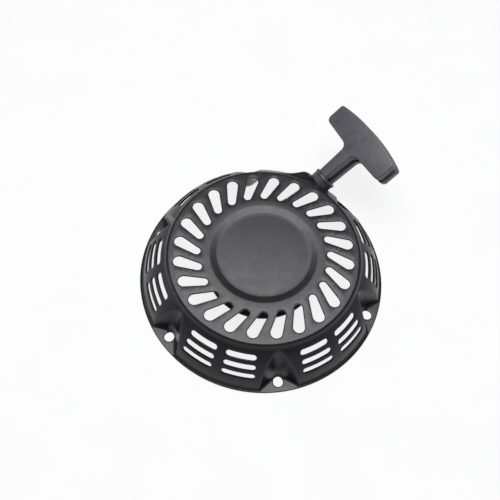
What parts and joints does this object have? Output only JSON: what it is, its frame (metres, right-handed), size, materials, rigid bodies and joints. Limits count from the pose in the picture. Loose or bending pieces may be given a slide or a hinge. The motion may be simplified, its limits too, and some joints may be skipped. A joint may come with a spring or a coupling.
{
  "type": "recoil starter",
  "caption": "Pull-rope recoil starter in a vented, pressed-steel housing with scalloped bolt pockets, a sprung rope reel, ratchet pawls and a T-handle.",
  "frame": {"origin": "centre of the mounting flange's underside, on the reel's axis", "axes": "+Z out of the engine through the vented top plate, +X the horizontal direction of the rope's pull"},
  "size_m": [0.244, 0.206, 0.0704],
  "materials": {
    "housing_paint": "satin black stoved enamel",
    "bright_steel": "turned",
    "zinc_steel": "zinc plated",
    "spring_steel": "blued and oiled",
    "pawl_steel": "sintered",
    "guide_bush_plastic": "moulded nylon",
    "grip_plastic": "moulded, fine texture",
    "reel_plastic": "glass-filled nylon",
    "ratchet_plastic": "natural acetal",
    "rope_nylon": "braided nylon"
  },
  "bodies": {
    "housing": {"housing": "housing_paint", "reel_post": "bright_steel", "spring_anchor": "bright_steel", "rope_guide": "guide_bush_plastic", "thrust_washer": "zinc_steel", "centre_screw": "zinc_steel", "rope_lead": "rope_nylon"},
    "reel": {"reel": "reel_plastic", "rope_winding": "rope_nylon", "reel_knot": "rope_nylon", "recoil_spring": "spring_steel", "pawl_pin_left": "bright_steel", "pawl_pin_right": "bright_steel", "pawl_spring_left": "spring_steel", "pawl_spring_right": "spring_steel"},
    "ratchet": {"ratchet_guide": "ratchet_plastic", "friction_spring": "spring_steel"},
    "pawl_left": {"pawl_left": "pawl_steel"},
    "pawl_right": {"pawl_right": "pawl_steel"},
    "handle": {"handle_grip": "grip_plastic", "grip_washer": "zinc_steel", "rope_tail": "rope_nylon", "handle_knot": "rope_nylon"}
  },
  "joints": [
    {"name": "handle_pull", "type": "slide", "parent": "housing", "child": "handle", "axis": [0.829, 0, 0.5592], "range_m": [0, 0.8], "stiffness_N_per_m": 20, "springref_m": -0.5},
    {"name": "reel_spin", "type": "hinge", "parent": "housing", "child": "reel", "pos_m": [0, 0, 0.025], "axis": [0, 0, -1], "range_deg": [0, 1200], "deforming": ["recoil_spring"]},
    {"name": "ratchet_turn", "type": "hinge", "parent": "reel", "child": "ratchet", "pos_m": [0, 0, 0.0072], "axis": [0, 0, 1], "range_deg": [0, 30], "stiffness_Nm_per_rad": 0.02, "springref_deg": -28.65},
    {"name": "pawl_left_swing", "type": "hinge", "parent": "reel", "child": "pawl_left", "pos_m": [0.022, 0, 0.0114], "axis": [0, 0, 1], "range_deg": [0, 30]},
    {"name": "pawl_right_swing", "type": "hinge", "parent": "reel", "child": "pawl_right", "pos_m": [-0.022, 0, 0.0114], "axis": [0, 0, 1], "range_deg": [0, 30]}
  ],
  "couplings": [
    {"joint": "reel_spin", "follows": "handle_pull", "rad_per_m": 25.317},
    {"joint": "pawl_left_swing", "follows": "ratchet_turn", "ratio": 1},
    {"joint": "pawl_right_swing", "follows": "ratchet_turn", "ratio": 1}
  ]
}
